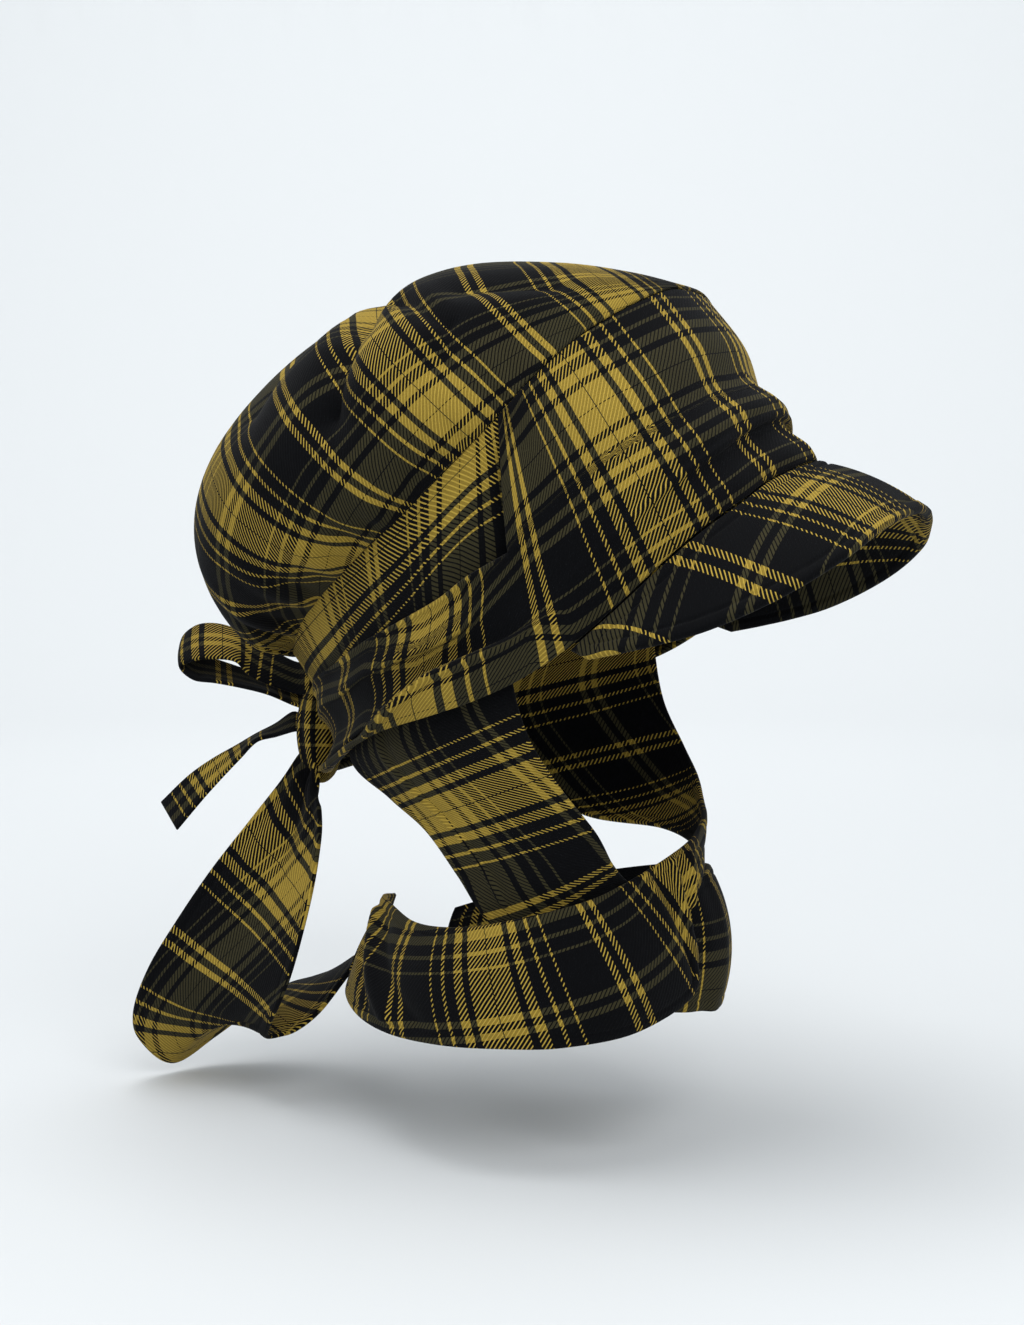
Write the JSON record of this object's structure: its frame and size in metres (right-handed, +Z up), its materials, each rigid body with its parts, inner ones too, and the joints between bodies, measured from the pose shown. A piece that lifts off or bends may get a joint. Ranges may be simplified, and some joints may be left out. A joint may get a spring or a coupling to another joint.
{
  "type": "tie-back peaked cap",
  "caption": "Soft peaked cap in checked twill with a slouched crown, a bow at the nape and ear straps that wrap the neck",
  "frame": {"origin": "middle of the head opening, halfway between the foot of the front panel and the knot, where the cap sits on a head", "axes": "+Z is up, -Y is the front with the peak, -X is the wearer's right side"},
  "size_m": [0.2081, 0.3288, 0.3329],
  "materials": {
    "twill": "matt black and mustard checked twill"
  },
  "bodies": {
    "root": {"crown": "twill", "back_band": "twill", "front_wrap": "twill", "peak": "twill", "strap_right": "twill", "strap_left": "twill", "tail_loop": "twill", "bow_loop": "twill", "tie_end": "twill", "knot": "twill"}
  },
  "joints": []
}
